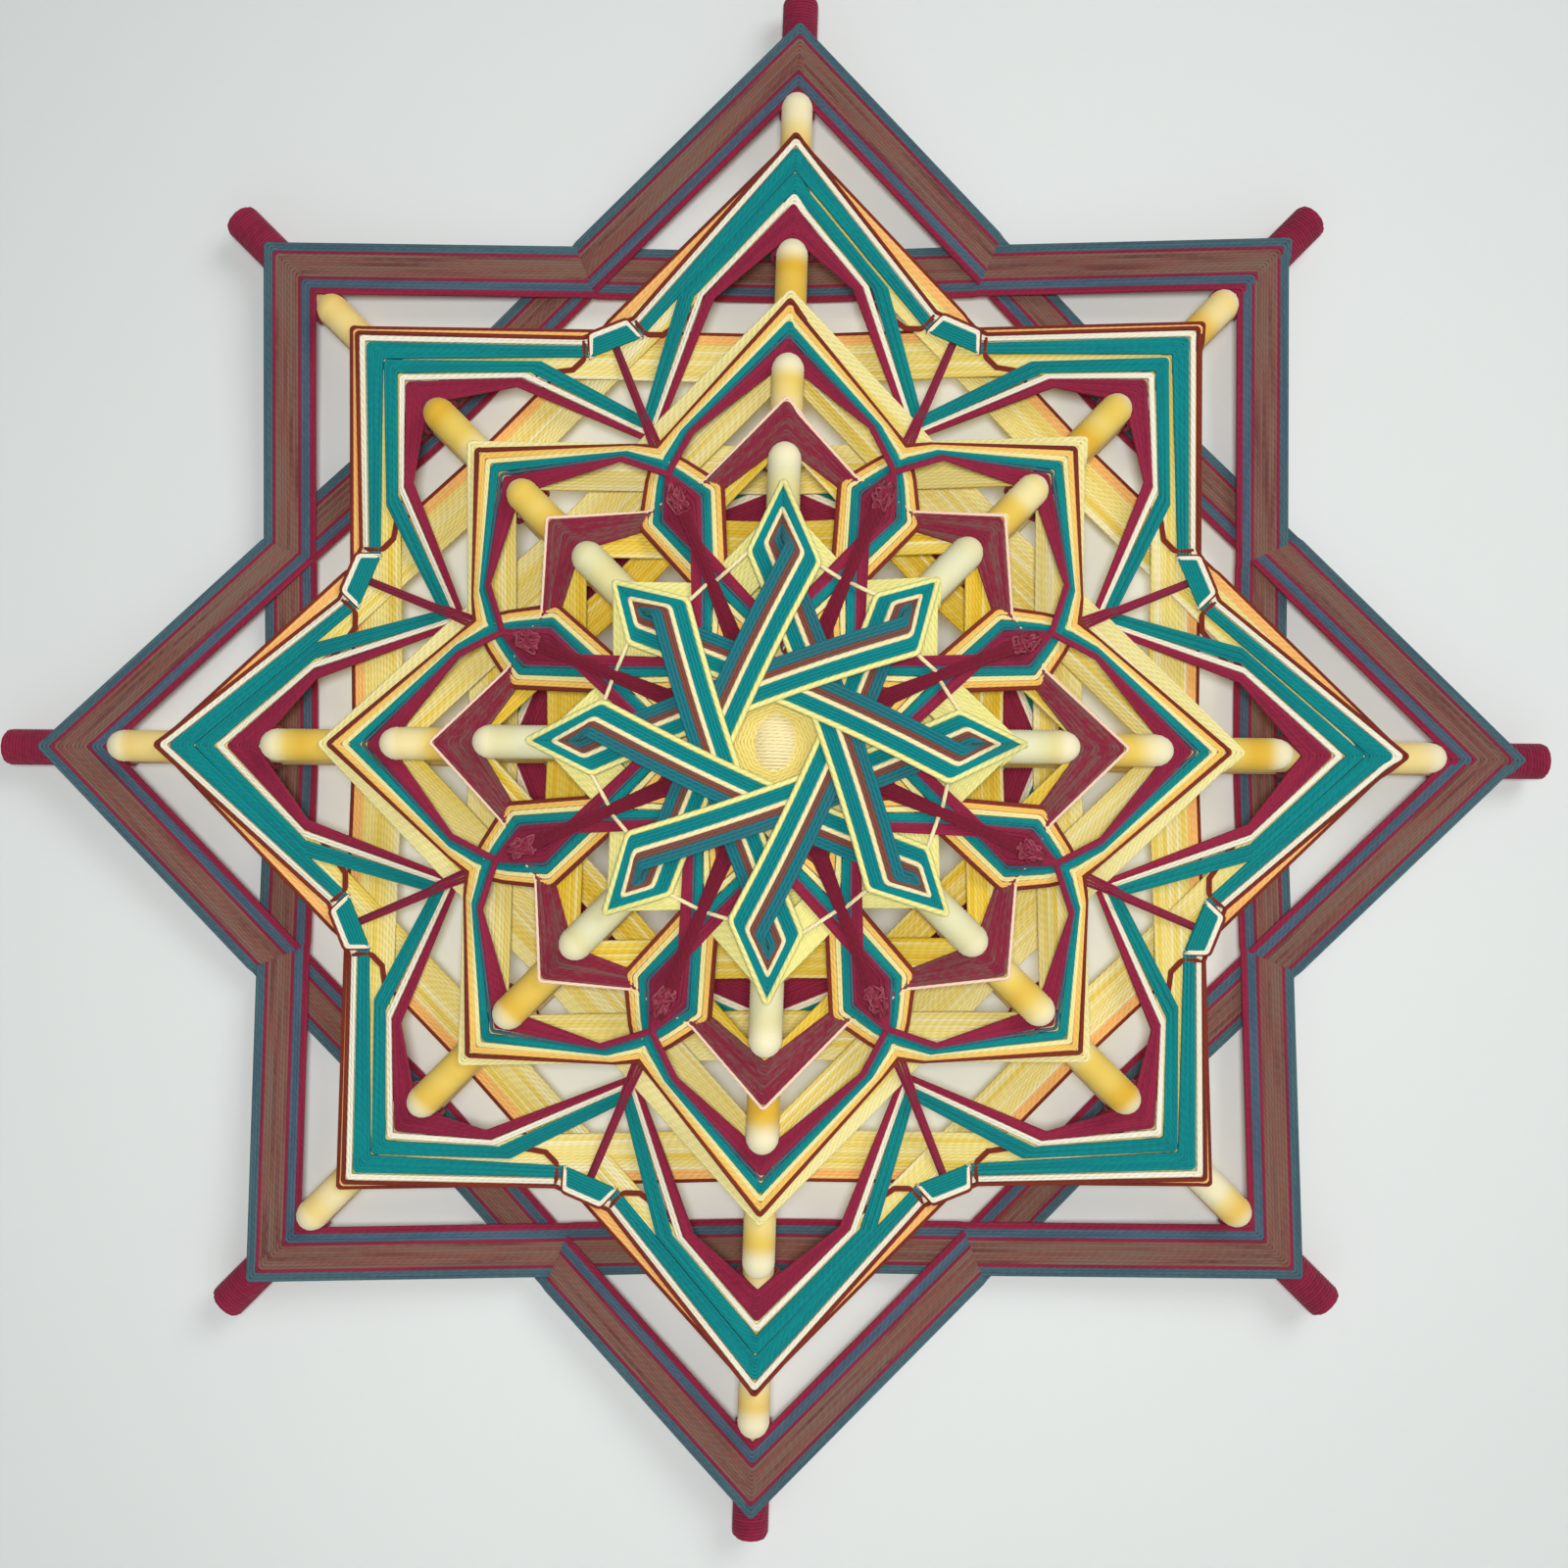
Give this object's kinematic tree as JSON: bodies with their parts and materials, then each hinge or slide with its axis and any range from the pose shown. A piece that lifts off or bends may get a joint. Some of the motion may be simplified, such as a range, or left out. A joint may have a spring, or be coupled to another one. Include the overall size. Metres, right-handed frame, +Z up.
{
  "type": "ojo de dios",
  "caption": "Wall-hung yarn mandala: crossed sticks in stacked tiers, wound with yarn into interlaced squares, petals and a star.",
  "frame": {"origin": "on the wall plane, straight behind the crossing of the sticks", "axes": "+Z up along the wall, +X to the viewer's right, +Y into the wall, so the front looks along -Y"},
  "size_m": [0.5002, 0.071, 0.5002],
  "materials": {
    "bare_stick": "bare round dowel, lightly sanded",
    "yellow_stick": "round dowel wound closely with pale to yellow yarn",
    "wine_yarn": "twisted acrylic yarn, wine red",
    "brown_yarn": "twisted melange yarn, brown with wine and olive flecks",
    "blue_grey_yarn": "twisted acrylic yarn, blue grey",
    "teal_yarn": "twisted acrylic yarn, teal",
    "cream_yarn": "twisted acrylic yarn, cream",
    "yellow_yarn": "twisted acrylic yarn, yellow",
    "gold_yarn": "twisted acrylic yarn, gold"
  },
  "bodies": {
    "root": {"outer_level_stick": "bare_stick", "outer_rising_stick": "bare_stick", "outer_upright_stick": "bare_stick", "outer_falling_stick": "bare_stick", "second_level_stick": "yellow_stick", "second_rising_stick": "yellow_stick", "second_upright_stick": "yellow_stick", "second_falling_stick": "yellow_stick", "third_level_stick": "yellow_stick", "third_rising_stick": "yellow_stick", "third_upright_stick": "yellow_stick", "third_falling_stick": "yellow_stick", "fourth_level_stick": "yellow_stick", "fourth_rising_stick": "yellow_stick", "fourth_upright_stick": "yellow_stick", "fourth_falling_stick": "yellow_stick", "front_level_stick": "yellow_stick", "front_rising_stick": "yellow_stick", "front_upright_stick": "yellow_stick", "front_falling_stick": "yellow_stick", "tip_winding_right": "wine_yarn", "tip_winding_upper_right": "wine_yarn", "tip_winding_top": "wine_yarn", "tip_winding_upper_left": "wine_yarn", "tip_winding_left": "wine_yarn", "tip_winding_lower_left": "wine_yarn", "tip_winding_bottom": "wine_yarn", "tip_winding_lower_right": "wine_yarn", "outer_square_outer_edge": "blue_grey_yarn", "outer_square_middle": "brown_yarn", "outer_square_inner_edge": "blue_grey_yarn", "outer_diamond_outer_edge": "blue_grey_yarn", "outer_diamond_middle": "brown_yarn", "outer_diamond_inner_edge": "blue_grey_yarn", "second_square_band": "cream_yarn", "second_diamond_band": "cream_yarn", "third_square_band": "yellow_yarn", "third_diamond_band": "yellow_yarn", "fourth_square_band": "gold_yarn", "fourth_diamond_band": "gold_yarn", "second_zigzag": "teal_yarn", "second_vee": "wine_yarn", "third_petals": "teal_yarn", "fourth_chevrons": "wine_yarn", "drop_cords": "wine_yarn", "front_star": "teal_yarn", "tie_right_upper": "wine_yarn", "tie_upper_right": "wine_yarn", "tie_upper_left": "wine_yarn", "tie_left_upper": "wine_yarn", "tie_left_lower": "wine_yarn", "tie_lower_left": "wine_yarn", "tie_lower_right": "wine_yarn", "tie_right_lower": "wine_yarn"}
  },
  "joints": []
}
